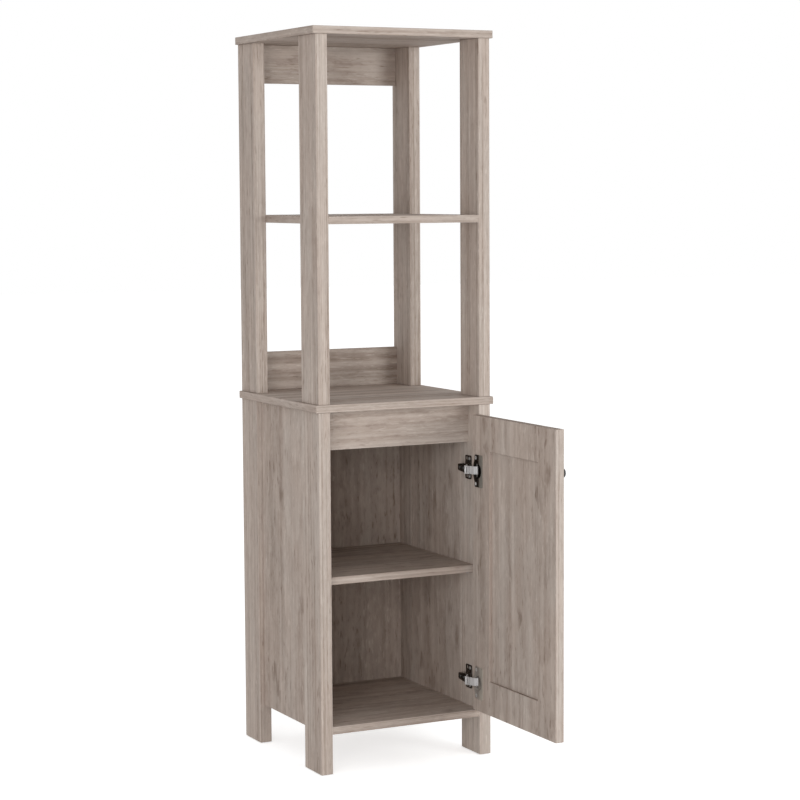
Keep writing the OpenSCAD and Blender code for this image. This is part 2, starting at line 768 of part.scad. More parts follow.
module hinge_cup_lever(z) color(bright_metal) on_door() translate([0, 0, z]) difference() {
    union() {
        upright(lever_half) strip(lever_path, lever_t);
        upright(lever_half) translate(cup_pin) circle(barrel_r);
        upright(lever_half) translate(lever_path[3]) circle(lever_tip_r);
    }
    translate([cup_pin.x, cup_pin.y, -lever_half - 1])
        cylinder(h = 2 * lever_half + 2, r = pin_r + pin_slip);
}

module upper_hinge_plate() hinge_plate(hinge_zs[0]);
module lower_hinge_plate() hinge_plate(hinge_zs[1]);
module upper_hinge_arm() hinge_arm(hinge_zs[0]);
module lower_hinge_arm() hinge_arm(hinge_zs[1]);
module upper_hinge_crank() hinge_crank(hinge_zs[0]);
module lower_hinge_crank() hinge_crank(hinge_zs[1]);
module upper_hinge_link() hinge_link(hinge_zs[0]);
module lower_hinge_link() hinge_link(hinge_zs[1]);
module upper_hinge_cup() hinge_cup(hinge_zs[0]);
module lower_hinge_cup() hinge_cup(hinge_zs[1]);
module upper_hinge_cup_lever() hinge_cup_lever(hinge_zs[0]);
module lower_hinge_cup_lever() hinge_cup_lever(hinge_zs[1]);

module hinge_arm_pins() color(dark_metal) for (z = hinge_zs)
    translate([arm_pin.x, arm_pin.y, z - lever_half]) cylinder(h = 2 * lever_half, r = pin_r);

module hinge_cup_pins() color(dark_metal) on_door() for (z = hinge_zs)
    translate([cup_pin.x, cup_pin.y, z - cup_pin_half]) cylinder(h = 2 * cup_pin_half, r = pin_r);

module hinge_plate_screws() color(bright_metal) for (z = hinge_zs) at_plate_screws(z) pan_screw(plate_screw);
module hinge_arm_screws() color(dark_metal) for (z = hinge_zs) at_arm_screws(z) pan_screw(arm_screw);
module hinge_cup_screws() color(bright_metal) on_door() for (z = hinge_zs)
    at_cup_screws(z) sunk_screw(cup_screw);

// Small fittings

// A shelf pin: its collar and spoon lie under the shelf, and its shank is in the post
module shelf_pins() color(bright_metal) for (sx = sides, y = pin_ys) at_shelf_pins(sx, y) difference() {
    union() {
        translate([-pin_out, 0, -pin_drop]) rotate([0, 90, 0]) cylinder(h = pin_out + pin_in, r = pin_d / 2);
        translate([-pin_collar[1], 0, -pin_drop]) rotate([0, 90, 0])
            cylinder(h = pin_collar[1], r = pin_collar[0]);
        translate([-pin_out, -pin_plate[0] / 2, -pin_plate[1]]) cube([pin_out, pin_plate[0], pin_plate[1]]);
    }
    translate([-pin_out - 1, -pin_collar[0] - 1, 0])
        cube([pin_out + 1, 2 * pin_collar[0] + 2, pin_drop + pin_collar[0]]);
}

module shelf_pin_bore() translate([0, 0, -pin_drop]) rotate([0, 90, 0]) bore(0, pin_in, pin_d / 2);

module leg_glides() color(dark_plastic) for (sx = sides, sy = sides)
    translate([sx * post_x, sy * post_y, 0]) {
        cylinder(h = glide_h, r = glide_d / 2);
        translate([0, 0, glide_h - eps]) cylinder(h = nail_l + eps, r = nail_r);
    }

module cam_places() {
    for (sx = sides, sy = sides, z = [bottom_panel_z, upper_shelf_z])
        at_shelf_end(sx, sy * shelf_cam_y, z) children();
    for (sx = sides) {
        at_rail_cam(sx, rail_y, counter_top) children();
        at_rail_cam(sx, rail_y, back_rail_z) children();
        at_rail_cam(sx, header_y, header_z) children();
    }
}

module cam_locks() color(bright_metal) cam_places() cam_lock();
module cam_bolts() color(bright_metal) cam_places() cam_bolt();

module cap_dowels() color(beech) for (sx = sides, sy = sides)
    at_post_tops(sx, sy, cap_z) dowel(dowel_in, top_dowel_in);

module counter_dowels() color(beech) for (sx = sides, sy = sides)
    at_post_tops(sx, sy, counter_z) dowel(dowel_in, board_t + dowel_in);

module side_dowels() color(beech) for (sx = sides, sy = sides)
    at_side_dowels(sx, sy) dowel(dowel_in, side_dowel_in);

module rail_dowels() color(beech) for (sx = sides) {
    at_rail_dowels(sx, rail_y, counter_top) dowel(dowel_in, face_dowel_in);
    at_rail_dowels(sx, rail_y, back_rail_z) dowel(dowel_in, face_dowel_in);
    at_rail_dowels(sx, header_y, header_z) dowel(dowel_in, face_dowel_in);
}

module shelf_dowels() color(beech) for (sx = sides, sy = sides, z = [bottom_panel_z, upper_shelf_z])
    at_shelf_end(sx, sy * post_y, z) dowel(dowel_in, face_dowel_in);

module counter_studs() color(bright_metal) for (sx = sides, sy = sides)
    translate([sx * post_x, sy * post_y, counter_z - stud_in])
        cylinder(h = board_t + 2 * stud_in, r = stud_r);

module cap_screws() color(bright_metal) for (sx = sides, sy = sides)
    translate([sx * post_x, sy * post_y, cap_z + board_t]) mirror([0, 0, 1]) sunk_screw(cap_screw);

cap();
upper_shelf();
upper_back_rail();
backsplash_rail();
countertop();
upper_post_front_left();
upper_post_front_right();
upper_post_back_left();
upper_post_back_right();
lower_post_front_left();
lower_post_front_right();
lower_post_back_left();
lower_post_back_right();
side_panel_left();
side_panel_right();
bottom_panel();
inner_shelf();
header_rail();
back_panel();
door_hinge_stile();
door_free_stile();
door_top_rail();
door_bottom_rail();
door_centre_panel();
knob();
knob_screw();
upper_hinge_plate();
lower_hinge_plate();
upper_hinge_arm();
lower_hinge_arm();
upper_hinge_crank();
lower_hinge_crank();
upper_hinge_link();
lower_hinge_link();
upper_hinge_cup();
lower_hinge_cup();
upper_hinge_cup_lever();
lower_hinge_cup_lever();
hinge_arm_pins();
hinge_cup_pins();
hinge_plate_screws();
hinge_arm_screws();
hinge_cup_screws();
shelf_pins();
leg_glides();
cam_locks();
cam_bolts();
cap_dowels();
counter_dowels();
side_dowels();
rail_dowels();
shelf_dowels();
counter_studs();
cap_screws();
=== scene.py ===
import math

import bpy
from mathutils import Matrix, Vector


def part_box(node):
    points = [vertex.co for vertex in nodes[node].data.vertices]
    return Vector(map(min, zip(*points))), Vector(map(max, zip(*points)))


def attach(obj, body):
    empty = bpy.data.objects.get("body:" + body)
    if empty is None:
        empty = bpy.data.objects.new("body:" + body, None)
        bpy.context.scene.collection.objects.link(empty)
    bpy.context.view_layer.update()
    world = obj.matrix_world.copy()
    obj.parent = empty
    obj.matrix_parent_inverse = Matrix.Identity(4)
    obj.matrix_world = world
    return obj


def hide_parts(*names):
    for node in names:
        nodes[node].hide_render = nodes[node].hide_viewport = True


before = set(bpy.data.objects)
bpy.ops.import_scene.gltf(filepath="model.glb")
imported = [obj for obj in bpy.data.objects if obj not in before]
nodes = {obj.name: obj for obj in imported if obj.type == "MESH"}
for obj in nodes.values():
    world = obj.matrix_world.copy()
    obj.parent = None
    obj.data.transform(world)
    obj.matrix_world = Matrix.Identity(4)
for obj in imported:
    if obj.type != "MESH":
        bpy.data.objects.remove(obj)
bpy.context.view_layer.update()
print("frame loaded:", len(nodes), "nodes")


def feed(tree, node, socket, value):
    # a socket takes either a plain value or another node's output
    target = node.inputs[socket]
    if isinstance(value, bpy.types.NodeSocket):
        tree.links.new(value, target)
    else:
        target.default_value = value


def addNode(tree, kind, inputs=None, **settings):
    node = tree.nodes.new(kind)
    for name, value in settings.items():
        setattr(node, name, value)
    for socket, value in (inputs or {}).items():
        feed(tree, node, socket, value)
    return node


def calculate(tree, operation, *values):
    return addNode(tree, "ShaderNodeMath", dict(enumerate(values)), operation=operation).outputs[0]


def between(tree, mask, atNone, atFull):
    # one value where the mask is 0, the other where it is 1
    return calculate(tree, "MULTIPLY_ADD", mask, atFull - atNone, atNone)


def aboutZero(tree, noise, reach):
    # a noise of 0 to 1 becomes a swing of half the reach either way
    return calculate(tree, "MULTIPLY_ADD", noise, reach, -reach / 2)


def smoothStep(tree, value, low, high):
    return addNode(tree, "ShaderNodeMapRange", {
        "Value": value, "From Min": low, "From Max": high, "To Min": 0.0, "To Max": 1.0,
    }, interpolation_type="SMOOTHSTEP").outputs[0]


def stretchedNoise(tree, vector, scale, detail, roughness, distortion):
    placed = addNode(tree, "ShaderNodeMapping", {"Vector": vector, "Scale": scale})
    return addNode(tree, "ShaderNodeTexNoise", {
        "Vector": placed.outputs[0], "Scale": 1.0, "Detail": detail,
        "Roughness": roughness, "Distortion": distortion,
    }).outputs[0]


# a Mix node's factor, first end, second end and result, by the kind of value that it mixes
mixSockets = {"FLOAT": (0, 2, 3, 0), "VECTOR": (0, 4, 5, 1), "RGBA": (0, 6, 7, 2)}


def mixValues(tree, kind, amount, first, second, **settings):
    factor, start, end, result = mixSockets[kind]
    inputs = {factor: amount, start: first, end: second}
    return addNode(tree, "ShaderNodeMix", inputs, data_type=kind, **settings).outputs[result]


# what each pattern group puts out
patternOutputs = {"Color": "Color", "Roughness": "Float", "Height": "Float"}


def newGroup(name, inputs):
    tree = bpy.data.node_groups.new(name, "ShaderNodeTree")
    for direction, sockets in (("INPUT", inputs), ("OUTPUT", patternOutputs)):
        for socket, kind in sockets.items():
            tree.interface.new_socket(name=socket, in_out=direction, socket_type="NodeSocket" + kind)
    return tree, tree.nodes.new("NodeGroupInput"), tree.nodes.new("NodeGroupOutput")


def newMaterial(name):
    material = bpy.data.materials.new(name)
    material.use_nodes = True
    return material, material.node_tree, material.node_tree.nodes["Principled BSDF"]


def coverShader(tree, shader, pattern, bumpStrength, bumpDistance):
    # a pattern group gives the shader its colour and roughness and a slight bump
    feed(tree, shader, "Base Color", pattern.outputs["Color"])
    feed(tree, shader, "Roughness", pattern.outputs["Roughness"])
    bump = addNode(tree, "ShaderNodeBump", {
        "Strength": bumpStrength, "Distance": bumpDistance, "Height": pattern.outputs["Height"],
    })
    feed(tree, shader, "Normal", bump.outputs[0])


def dress(name, material):
    slots = nodes[name].data.materials
    slots.clear()
    slots.append(material)


def middleOf(node):
    low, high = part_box(node)
    return (low + high) / 2


# the oak pattern runs along its own Z
oakLook = {
    "dark": (0.227, 0.170, 0.135, 1),
    "middle": (0.435, 0.358, 0.309, 1),
    "light": (0.606, 0.531, 0.472, 1),
    "warm": (1.011, 0.998, 0.995, 1),
    "cool": (0.990, 1.0, 1.009, 1),
    "plainTone": 0.52,  # from 0, dark, to 1, light
    # each noise: its features in a metre across and along the grain, its detail, roughness and distortion
    "noises": {
        "broad": ((13, 13, 0.7), 1, 0.5, 0.0),
        "streak": ((80, 80, 0.8), 2, 0.5, 0.1),
        "line": ((210, 210, 1.4), 2, 0.55, 0.1),
        "mottle": ((95, 95, 28), 3, 0.6, 0.3),
        "pore": ((1000, 1000, 90), 2, 0.5, 0.0),
        "speck": ((210, 210, 36), 2, 0.5, 0.0),
        "cluster": ((24, 24, 6), 1, 0.5, 0.0),
        "fleck": ((330, 330, 44), 2, 0.5, 0.3),
        "ring": ((5.5, 5.5, 0.42), 2, 0.4, 0.2),
        "tint": ((22, 22, 5), 2, 0.5, 0.0),
    },
    # the level of its noise at which each of these begins, and the level at which it is full
    "levels": {
        "pore": (0.60, 0.72),
        "speck": (0.57, 0.72),
        "cluster": (0.40, 0.64),
        "fleck": (0.56, 0.70),
        "tint": (0.35, 0.65),
    },
    # how far these noises swing the tone, and how far these marks darken it
    "swings": {"broad": 0.5, "streak": 0.78, "line": 0.6, "mottle": 0.54},
    "marks": {"speck": 0.34, "pore": 0.2, "ring": 0.10, "knot": 0.36, "fleck": -0.26},
    # rings over the whole of their noise, how far the mottle bends them, their slow rise and their quick fall
    "rings": {"count": 24, "waver": 0.6, "rise": (0.15, 0.88), "fall": (1.0, 0.90)},
    # cells in a metre, how ragged a knot is, its rim and its heart, and which of the cells have one
    "knots": {"cells": (42, 42, 14), "ragged": 0.5, "rim": (0.44, 0.06), "chosen": (0.78, 0.96)},
    # the plain value, and what a fine line and a pore add to it
    "surface": {"Roughness": (0.76, -0.16, 0.12), "Height": (0.4, 0.5, -0.5)},
}


def growthRings(tree, slow, mottle):
    # the contour lines of a slow noise run up the board and close in long arches
    rings = oakLook["rings"]
    waver = calculate(tree, "MULTIPLY", mottle, rings["waver"])
    phase = calculate(tree, "FRACT", calculate(tree, "MULTIPLY_ADD", slow, rings["count"], waver))
    rise = smoothStep(tree, phase, *rings["rise"])
    fall = smoothStep(tree, phase, *rings["fall"])
    return calculate(tree, "MULTIPLY", rise, fall)


def smallKnots(tree, place, mottle):
    # they are drawn out along the grain, and only some of the cells have one
    knots = oakLook["knots"]
    stretched = addNode(tree, "ShaderNodeMapping", {"Vector": place, "Scale": knots["cells"]})
    cells = addNode(tree, "ShaderNodeTexVoronoi", {
        "Vector": stretched.outputs[0], "Scale": 1.0, "Randomness": 1.0,
    }, feature="F1")
    distance = calculate(tree, "ADD", cells.outputs["Distance"], aboutZero(tree, mottle, knots["ragged"]))
    near = smoothStep(tree, distance, *knots["rim"])
    cellPick = addNode(tree, "ShaderNodeSeparateColor", {0: cells.outputs["Color"]}).outputs[0]
    return calculate(tree, "MULTIPLY", near, smoothStep(tree, cellPick, *knots["chosen"]))


def toneToColour(tree, tone, tint):
    ramp = addNode(tree, "ShaderNodeValToRGB", {0: tone})
    ramp.color_ramp.elements[0].position = 0.0
    ramp.color_ramp.elements[0].color = oakLook["dark"]
    ramp.color_ramp.elements[1].position = 1.0
    ramp.color_ramp.elements[1].color = oakLook["light"]
    ramp.color_ramp.elements.new(0.5).color = oakLook["middle"]
    # patches lean a little to pink or to grey
    lean = mixValues(tree, "RGBA", tint, oakLook["warm"], oakLook["cool"])
    return mixValues(tree, "RGBA", 1.0, ramp.outputs[0], lean, blend_type="MULTIPLY")


def makeOakGroup():
    tree, source, result = newGroup("oakGrain", {
        "Vector": "Vector", "Lightness": "Float", "Rings": "Float", "Knots": "Float", "Lines": "Float",
    })
    place = source.outputs["Vector"]
    noise = {name: stretchedNoise(tree, place, *look) for name, look in oakLook["noises"].items()}
    level = {name: smoothStep(tree, noise[name], *limits) for name, limits in oakLook["levels"].items()}
    betweenClusters = calculate(tree, "SUBTRACT", 1.0, level["cluster"])
    rings = growthRings(tree, noise["ring"], noise["mottle"])
    knots = smallKnots(tree, place, noise["mottle"])
    # short dark specks gather in loose clusters, and between them lie short pale flecks, as of lime
    marks = {
        "speck": calculate(tree, "MULTIPLY", level["speck"], level["cluster"]),
        "pore": level["pore"],
        "ring": calculate(tree, "MULTIPLY", rings, source.outputs["Rings"]),
        "knot": calculate(tree, "MULTIPLY", knots, source.outputs["Knots"]),
        "fleck": calculate(tree, "MULTIPLY", level["fleck"], betweenClusters),
    }

    tone = calculate(tree, "ADD", source.outputs["Lightness"], oakLook["plainTone"])
    for name, reach in oakLook["swings"].items():
        swing = aboutZero(tree, noise[name], reach)
        if name == "line":
            swing = calculate(tree, "MULTIPLY", swing, source.outputs["Lines"])
        tone = calculate(tree, "ADD", tone, swing)
    for name, depth in oakLook["marks"].items():
        tone = calculate(tree, "SUBTRACT", tone, calculate(tree, "MULTIPLY", marks[name], depth))
    feed(tree, result, "Color", toneToColour(tree, tone, level["tint"]))

    for socket, (plain, onLine, onPore) in oakLook["surface"].items():
        value = calculate(tree, "MULTIPLY_ADD", noise["line"], onLine, plain)
        feed(tree, result, socket, calculate(tree, "MULTIPLY_ADD", level["pore"], onPore, value))
    return tree


oakGroup = makeOakGroup()

boardLook = {
    "facing": 0.8,  # how squarely an end or an edge looks along its axis
    "specular": 0.2,
    "bumpStrength": 0.35,
    "bumpDistance": 0.0003,
    # where on the endless print the first board lies, how far on each next one does, and where the door lies
    "start": (1.9, 0.7, 2.9),
    "step": (0.37, 0.53, 1.71),
    "doorStart": (4.1, 7.3, 11.9),
    # how many knots, how strong the fine lines, how fine it all is, and how much lighter the ends are, where
    # the door's negative value is painted shade
    "prints": {
        "board": {"knots": 0.6, "lines": 1.0, "fineness": 1.0, "paintedEndShade": 0.0},
        "rail": {"knots": 1.1, "lines": 1.0, "fineness": 1.0, "paintedEndShade": 0.0},
        "panel": {"knots": 0.9, "lines": 0.4, "fineness": 0.72, "paintedEndShade": 0.0},
        # the door's ends, with the ledges round its recessed panel, are darkened as painted shade
        "door": {"knots": 1.0, "lines": 0.75, "fineness": 0.75, "paintedEndShade": -0.45},
    },
    # the print of the banded edges, with its share of the faces' rings and knots
    "band": {"rings": 0.3, "knots": 0.2, "lines": 1.4, "fineness": 1.9},
}
# each board: grain on its faces, grain on its ends, the way its long edges face, its print, how much lighter
# it is, and how much lighter still its long edges are; these two are partly a random tone and partly painted
# light and shade
boards = {
    "cap": ("X", "Y", "Y", "board", -0.13, 0.13),
    "countertop": ("X", "Y", "Y", "board", -0.05, 0.17),
    "upper_shelf": ("X", "Y", "Y", "board", 0.0, 0.0),
    "upper_back_rail": ("X", "Y", "Z", "rail", 0.02, 0.0),
    "backsplash_rail": ("X", "Y", "Z", "rail", -0.12, 0.0),
    "header_rail": ("X", "Y", "Z", "rail", 0.12, 0.0),
    "bottom_panel": ("X", "Y", "Y", "panel", 0.0, 0.04),
    "inner_shelf": ("X", "Y", "Y", "board", 0.0, 0.0),
    "upper_post_front_left": ("Z", "Y", "Y", "board", 0.07, -0.07),
    "upper_post_front_right": ("Z", "Y", "Y", "board", 0.06, -0.02),
    "upper_post_back_left": ("Z", "Y", "Y", "board", 0.03, 0.0),
    "upper_post_back_right": ("Z", "Y", "Y", "board", 0.06, -0.08),
    # the lower posts are lightened as painted light against the shade under the cabinet, and the front right
    # one's front edge is darkened back as painted shade
    "lower_post_front_left": ("Z", "Y", "Y", "board", 0.13, -0.08),
    "lower_post_front_right": ("Z", "Y", "Y", "board", 0.36, -0.24),
    "lower_post_back_left": ("Z", "Y", "Y", "board", 0.16, 0.0),
    "lower_post_back_right": ("Z", "Y", "Y", "board", 0.0, 0.0),
    "side_panel_left": ("Z", "Y", "Y", "panel", 0.02, 0.0),
    "side_panel_right": ("Z", "Y", "Y", "panel", 0.03, 0.0),
    "back_panel": ("Z", "X", "X", "panel", -0.02, 0.0),
}
# the door's frame and panel share one print
doorBoard = ("Z", "Y", "Y", "door", 0.13, -0.16)
doorPieces = ["door_hinge_stile", "door_free_stile", "door_top_rail", "door_bottom_rail", "door_centre_panel"]


def grainAlong(tree, place, axis):
    # puts the named axis on the pattern's Z
    first, second = (other for other in "XYZ" if other != axis)
    return addNode(tree, "ShaderNodeCombineXYZ", {
        "X": place[first], "Y": place[second], "Z": place[axis],
    }).outputs[0]


def facesAlong(tree, normal, axis):
    # 1 where the surface looks along the named axis, either way
    return calculate(tree, "GREATER_THAN", calculate(tree, "ABSOLUTE", normal[axis]), boardLook["facing"])


def makeOak(name, board, start):
    grain, endGrain, bandFacing, kind, tone, bandTone = board
    face, band = boardLook["prints"][kind], boardLook["band"]
    material, tree, shader = newMaterial(name)
    coords = addNode(tree, "ShaderNodeTexCoord").outputs
    place = addNode(tree, "ShaderNodeSeparateXYZ", {0: coords["Object"]}).outputs
    normal = addNode(tree, "ShaderNodeSeparateXYZ", {0: coords["Normal"]}).outputs
    onEnd = facesAlong(tree, normal, grain)
    onBand = facesAlong(tree, normal, bandFacing)

    onFaces = grainAlong(tree, place, grain)
    onEnds = grainAlong(tree, place, endGrain)
    laid = mixValues(tree, "VECTOR", onEnd, onFaces, onEnds)
    finer = between(tree, onBand, face["fineness"], band["fineness"])
    stretch = addNode(tree, "ShaderNodeCombineXYZ", {"X": finer, "Y": finer, "Z": 1.0}).outputs[0]
    scaled = addNode(tree, "ShaderNodeVectorMath", {0: laid, 1: stretch}, operation="MULTIPLY").outputs[0]
    placed = addNode(tree, "ShaderNodeMapping", {"Vector": scaled, "Location": start}).outputs[0]

    # a board's lightness is partly painted light and shade, and on the door a painted shade on its ends
    lightness = calculate(tree, "MULTIPLY_ADD", onBand, bandTone, tone)
    pattern = addNode(tree, "ShaderNodeGroup", {
        "Vector": placed,
        "Lightness": calculate(tree, "MULTIPLY_ADD", onEnd, face["paintedEndShade"], lightness),
        "Rings": between(tree, onBand, 1.0, band["rings"]),
        "Knots": between(tree, onBand, face["knots"], face["knots"] * band["knots"]),
        "Lines": between(tree, onBand, face["lines"], band["lines"]),
    }, node_tree=oakGroup)
    coverShader(tree, shader, pattern, boardLook["bumpStrength"], boardLook["bumpDistance"])
    feed(tree, shader, "Specular IOR Level", boardLook["specular"])
    return material


for index, (name, board) in enumerate(boards.items()):
    start = [first + step * index for first, step in zip(boardLook["start"], boardLook["step"])]
    dress(name, makeOak("oak_" + name, board, start))
doorOak = makeOak("oak_door", doorBoard, boardLook["doorStart"])
for name in doorPieces:
    dress(name, doorOak)
print("oak boards dressed")

# metal, plastic and beech: a fine noise over a soft one blends each finish's two colours
mottleLook = {
    "fineDetail": 4.0,
    "fineRoughness": 0.6,
    "softScale": 60.0,
    "softDetail": 2.0,
    "softRoughness": 0.5,
    "softShare": 0.6,
    "bumpStrength": 0.2,
}


def makeMottleGroup():
    tree, source, result = newGroup("fineMottle", {
        "Vector": "Vector", "Base": "Color", "Shade": "Color",
        "Scale": "Float", "Roughness": "Float", "Spread": "Float",
    })
    fine = addNode(tree, "ShaderNodeTexNoise", {
        "Vector": source.outputs["Vector"], "Scale": source.outputs["Scale"],
        "Detail": mottleLook["fineDetail"], "Roughness": mottleLook["fineRoughness"],
    }).outputs[0]
    soft = addNode(tree, "ShaderNodeTexNoise", {
        "Vector": source.outputs["Vector"], "Scale": mottleLook["softScale"],
        "Detail": mottleLook["softDetail"], "Roughness": mottleLook["softRoughness"],
    }).outputs[0]
    softShare = mottleLook["softShare"]
    finePart = calculate(tree, "MULTIPLY", fine, 1 - softShare)
    blend = calculate(tree, "MULTIPLY_ADD", soft, softShare, finePart)
    colour = mixValues(tree, "RGBA", blend, source.outputs["Base"], source.outputs["Shade"])
    feed(tree, result, "Color", colour)
    swing = calculate(tree, "MULTIPLY", calculate(tree, "SUBTRACT", blend, 0.5), source.outputs["Spread"])
    feed(tree, result, "Roughness", calculate(tree, "ADD", source.outputs["Roughness"], swing))
    feed(tree, result, "Height", fine)
    return tree


mottleGroup = makeMottleGroup()


def makeFinish(name, base, shade, metallic, roughness, spread=0.1, scale=900, bumpDistance=0.0001):
    # spread is how far the roughness strays, and scale the fine noise's features in a metre
    material, tree, shader = newMaterial(name)
    coords = addNode(tree, "ShaderNodeTexCoord").outputs
    pattern = addNode(tree, "ShaderNodeGroup", {
        "Vector": coords["Object"], "Base": (*base, 1), "Shade": (*shade, 1),
        "Scale": scale, "Roughness": roughness, "Spread": spread,
    }, node_tree=mottleGroup)
    coverShader(tree, shader, pattern, mottleLook["bumpStrength"], bumpDistance)
    feed(tree, shader, "Metallic", metallic)
    return material


cupFinishAndReflection = {
    "roughness": 0.3,
    "offset": 0.005,  # how far past the cup's middle the painted reflection turns from its near colour to its far colour
    "blend": 0.006,  # over what width it does
    "shade": 0.85,  # the share of each colour that is left in its shade
}


def dimmed(colour, share):
    return (*(share * part for part in colour), 1)


def makeCupFinishAndReflection(name, node, near, far, metallicNear, metallicFar):
    # near is the side of the door's hinge edge, far the side of its free edge; the shift between their
    # colours and metalness is a painted reflection, darker on the near side
    material = makeFinish(name, near, near, metallicNear, cupFinishAndReflection["roughness"])
    tree = material.node_tree
    across = middleOf("door_free_stile") - middleOf("door_hinge_stile")
    across.z = 0
    across.normalize()
    coords = addNode(tree, "ShaderNodeTexCoord").outputs
    along = addNode(tree, "ShaderNodeVectorMath", {
        0: coords["Object"], 1: across,
    }, operation="DOT_PRODUCT").outputs["Value"]
    middle = across.dot(middleOf(node)) + cupFinishAndReflection["offset"]
    reach = cupFinishAndReflection["blend"] / 2
    amount = smoothStep(tree, along, middle - reach, middle + reach)
    pattern = next(step for step in tree.nodes if step.type == "GROUP")
    for socket, share in (("Base", 1.0), ("Shade", cupFinishAndReflection["shade"])):
        paintedReflection = mixValues(tree, "RGBA", amount, dimmed(near, share), dimmed(far, share))
        feed(tree, pattern, socket, paintedReflection)
    feed(tree, tree.nodes["Principled BSDF"], "Metallic", between(tree, amount, metallicNear, metallicFar))
    return material


# each finish: the material's name, its two colours, how metallic it is and how rough
finishes = {
    # this nickel's colour is darkened as a painted reflection of dark surroundings
    "paintedDarkNickel": makeFinish("nickel_painted_dark_reflection", (0.17, 0.155, 0.145), (0.13, 0.12, 0.11), 1.0, 0.24),
    "brightMetal": makeFinish("satin_nickel", (0.58, 0.565, 0.565), (0.52, 0.51, 0.505), 0.45, 0.55),
    # the cups' colours are painted reflections: dark on the upper cup, pale on the lower cup
    "upperCup": makeCupFinishAndReflection(
        "upper_cup_steel_painted_reflection", "upper_hinge_cup", (0.10, 0.09, 0.08), (0.30, 0.28, 0.245), 1.0, 0.3,
    ),
    "lowerCup": makeCupFinishAndReflection(
        "lower_cup_steel_painted_reflection", "lower_hinge_cup", (0.48, 0.44, 0.40), (0.53, 0.485, 0.42), 0.45, 0.25,
    ),
    "screwSteel": makeFinish("dark_screw", (0.13, 0.125, 0.12), (0.10, 0.095, 0.09), 1.0, 0.42),
    "screwPlate": makeFinish("plate_screw", (0.40, 0.385, 0.37), (0.33, 0.32, 0.31), 0.7, 0.5),
    "screwBright": makeFinish("bright_screw", (0.80, 0.79, 0.77), (0.72, 0.71, 0.69), 0.4, 0.5),
    "blackPlastic": makeFinish(
        "black_plastic", (0.03, 0.03, 0.03), (0.018, 0.018, 0.018), 0.0, 0.5, spread=0.15, scale=1500,
    ),
    "knobBlack": makeFinish(
        "knob_black", (0.022, 0.021, 0.02), (0.014, 0.013, 0.013), 0.4, 0.38, spread=0.12, scale=1200,
    ),
    "dowelBeech": makeFinish(
        "dowel_beech", (0.62, 0.45, 0.27), (0.5, 0.34, 0.19), 0.0, 0.6, scale=700, bumpDistance=0.0002,
    ),
}
# the small solids that stay as they are
nodeFinishes = {
    "paintedDarkNickel": ["hinge_arm_pins", "hinge_cup_pins"],
    "brightMetal": ["shelf_pins", "cam_locks", "cam_bolts", "counter_studs", "cap_screws", "knob_screw"],
    "screwSteel": ["hinge_arm_screws"],
    "screwPlate": ["hinge_plate_screws"],
    "screwBright": ["hinge_cup_screws"],
    "blackPlastic": ["leg_glides"],
    "dowelBeech": ["cap_dowels", "counter_dowels", "side_dowels", "rail_dowels", "shelf_dowels"],
}
for finish, names in nodeFinishes.items():
    for name in names:
        dress(name, finishes[finish])
print("metal, plastic and dowels dressed")

bpy.ops.object.select_all(action="DESELECT")  # the solids come selected

# the knob stands square to the open door: its radii and its heights from the foot
knobShape = {
    "sides": 64,
    "startRadius": 0.0070,
    "profile": [
        (0.0070, 0.0010), (0.0067, 0.0013), (0.0056, 0.0023), (0.0049, 0.0036), (0.0046, 0.0052),
        (0.0047, 0.0066), (0.0053, 0.0084), (0.0063, 0.0102), (0.0076, 0.0120), (0.0089, 0.0134),
        (0.0098, 0.0143), (0.01018, 0.0151), (0.01022, 0.0158), (0.01012, 0.0165), (0.0096, 0.0178),
        (0.0085, 0.0191), (0.0069, 0.0200), (0.0049, 0.0206), (0.0027, 0.0209), (0.0009, 0.02098),
    ],
    "smoothAngle": 50,
}


def turnKnob():
    low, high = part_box("knob")
    middle = (low + high) / 2
    bpy.ops.mesh.primitive_circle_add(
        vertices=knobShape["sides"], radius=knobShape["startRadius"], fill_type="NGON",
        location=(low.x, middle.y, middle.z), rotation=(0, math.radians(90), 0),
    )
    piece = bpy.context.active_object
    piece.name = "turned_knob"
    bpy.ops.object.transform_apply(location=True, rotation=True, scale=True)
    bpy.ops.object.mode_set(mode="EDIT")
    bpy.ops.mesh.select_all(action="SELECT")
    radius, height = knobShape["startRadius"], 0.0
    for nextRadius, nextHeight in knobShape["profile"]:
        bpy.ops.mesh.extrude_region_move(TRANSFORM_OT_translate={"value": (nextHeight - height, 0, 0)})
        size = nextRadius / radius
        bpy.ops.transform.resize(
            value=(1, size, size), center_override=(low.x + nextHeight, middle.y, middle.z),
        )
        radius, height = nextRadius, nextHeight
    bpy.ops.mesh.poke()  # closes the top with a fan in place of one flat face
    bpy.ops.mesh.select_all(action="SELECT")
    bpy.ops.mesh.normals_make_consistent(inside=False)
    bpy.ops.object.mode_set(mode="OBJECT")
    bpy.ops.object.shade_smooth_by_angle(angle=math.radians(knobShape["smoothAngle"]))
    piece.data.materials.append(finishes["knobBlack"])
    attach(piece, "door")
    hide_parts("knob")


turnKnob()
print("knob turned")

# the pressed hinge parts, upper and lower: the body each rides on, its finish, and the width and steps of
# its rounded sheet edges; the two cups each have a finish with its own painted reflection
pressedParts = {
    "hinge_arm": ("cabinet", "paintedDarkNickel", 0.0004, 2),
    "hinge_plate": ("cabinet", "paintedDarkNickel", 0.0004, 2),
    "hinge_crank": ("cabinet", "brightMetal", 0.0004, 2),
    "hinge_link": ("hinge_links", "brightMetal", 0.0003, 2),
    "hinge_cup": ("door", "Cup", 0.0005, 3),
    "hinge_cup_lever": ("door", "brightMetal", 0.0003, 2),
}
# corners nearer than this are one; in degrees, faces flatter than this are one, edges sharper than this are
# rounded, and edges flatter than this are shaded smooth
pressing = {"sameCorner": 0.000005, "sameFace": 1, "roundedEdge": 40, "smoothAngle": 35}


